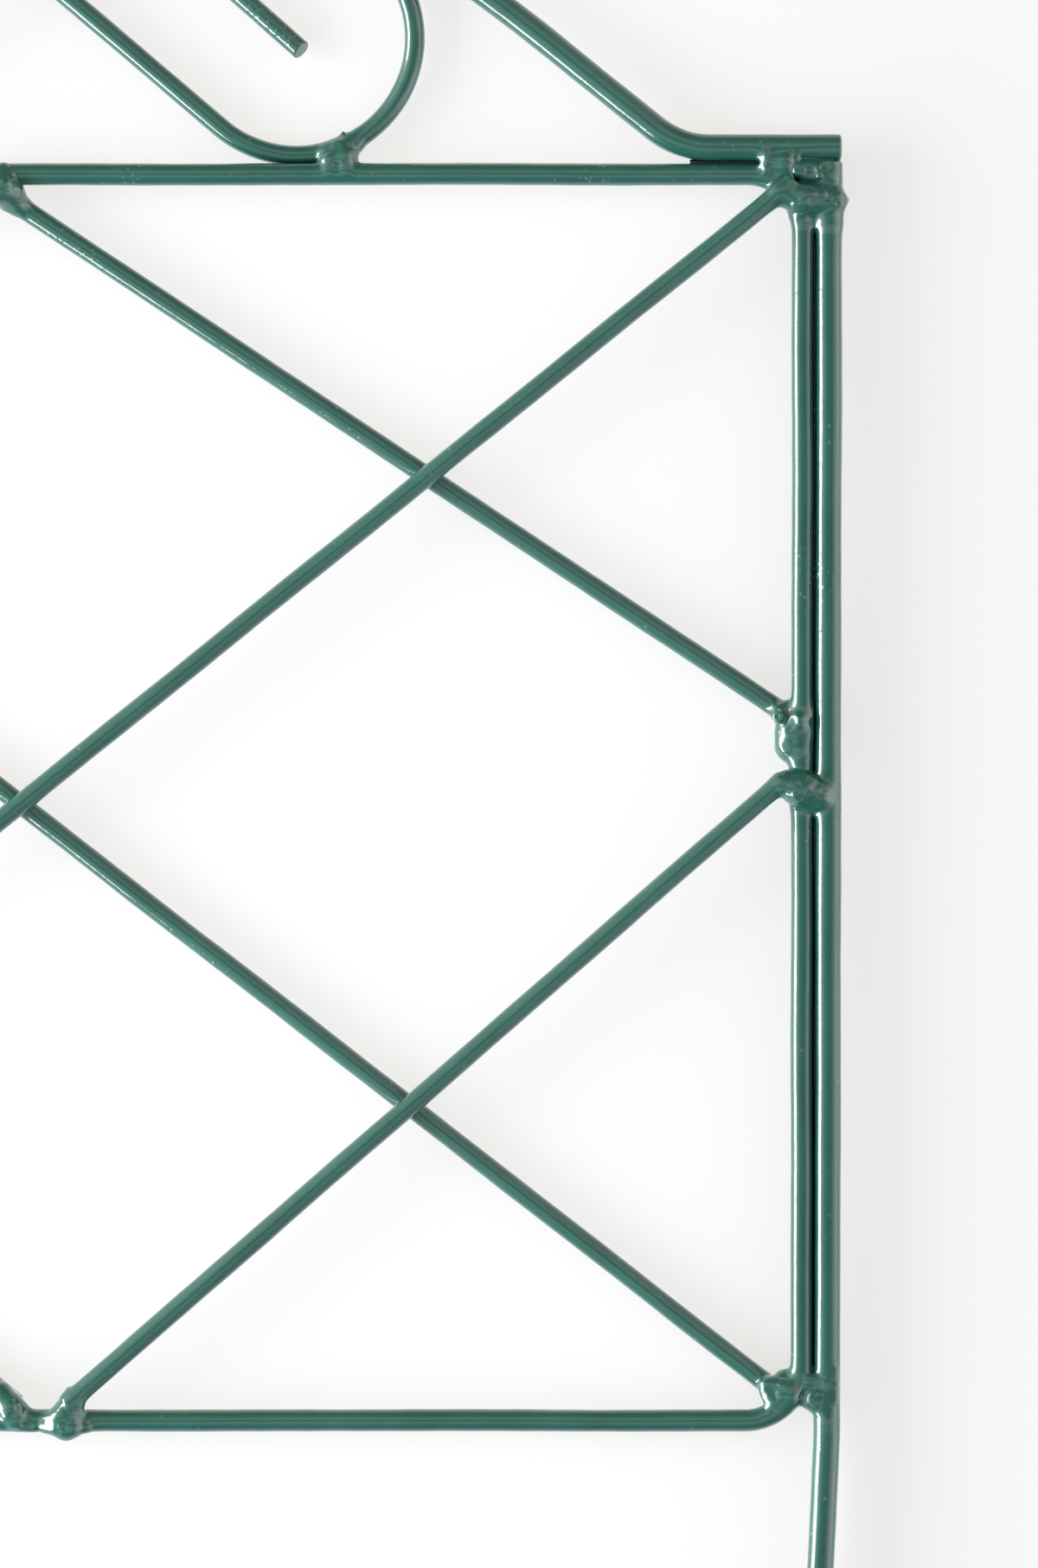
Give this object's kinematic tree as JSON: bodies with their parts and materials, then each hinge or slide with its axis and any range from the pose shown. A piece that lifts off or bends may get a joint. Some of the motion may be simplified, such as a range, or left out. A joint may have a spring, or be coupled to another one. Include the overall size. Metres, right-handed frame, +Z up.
{
  "type": "espalier frame",
  "caption": "Flat welded rod trellis with a diamond lattice panel, an arched crest with scrolls, and legs that push into the soil, to train a climbing plant.",
  "frame": {"origin": "on the soil line, midway between the legs, in the frame's middle plane", "axes": "+X to the right seen from the front, +Y to the back, +Z up; the legs point down -Z"},
  "size_m": [0.401, 0.0113, 0.751],
  "materials": {
    "coated_rod": "gloss",
    "coated_weld": "gloss"
  },
  "bodies": {
    "root": {"panel_ring": "coated_rod", "left_post": "coated_rod", "right_post": "coated_rod", "crest_arch": "coated_rod", "left_scroll": "coated_rod", "right_scroll": "coated_rod", "long_front_bar": "coated_rod", "long_rear_bar": "coated_rod", "upper_left_bar": "coated_rod", "upper_right_bar": "coated_rod", "lower_left_bar": "coated_rod", "lower_right_bar": "coated_rod", "top_centre_weld": "coated_weld", "bottom_left_weld": "coated_weld", "bottom_right_weld": "coated_weld", "left_upper_side_weld": "coated_weld", "right_upper_side_weld": "coated_weld", "left_lower_side_weld": "coated_weld", "right_lower_side_weld": "coated_weld", "left_top_corner_weld": "coated_weld", "right_top_corner_weld": "coated_weld", "left_crest_foot_weld": "coated_weld", "right_crest_foot_weld": "coated_weld", "left_post_head_weld": "coated_weld", "right_post_head_weld": "coated_weld", "left_base_bar_weld": "coated_weld", "right_base_bar_weld": "coated_weld", "left_base_post_weld": "coated_weld", "right_base_post_weld": "coated_weld", "left_scroll_foot_weld": "coated_weld", "right_scroll_foot_weld": "coated_weld", "left_scroll_arch_weld": "coated_weld", "right_scroll_arch_weld": "coated_weld", "left_tail_weld": "coated_weld", "right_tail_weld": "coated_weld", "tail_crossing_weld": "coated_weld", "lattice_tacks": "coated_weld"}
  },
  "joints": []
}
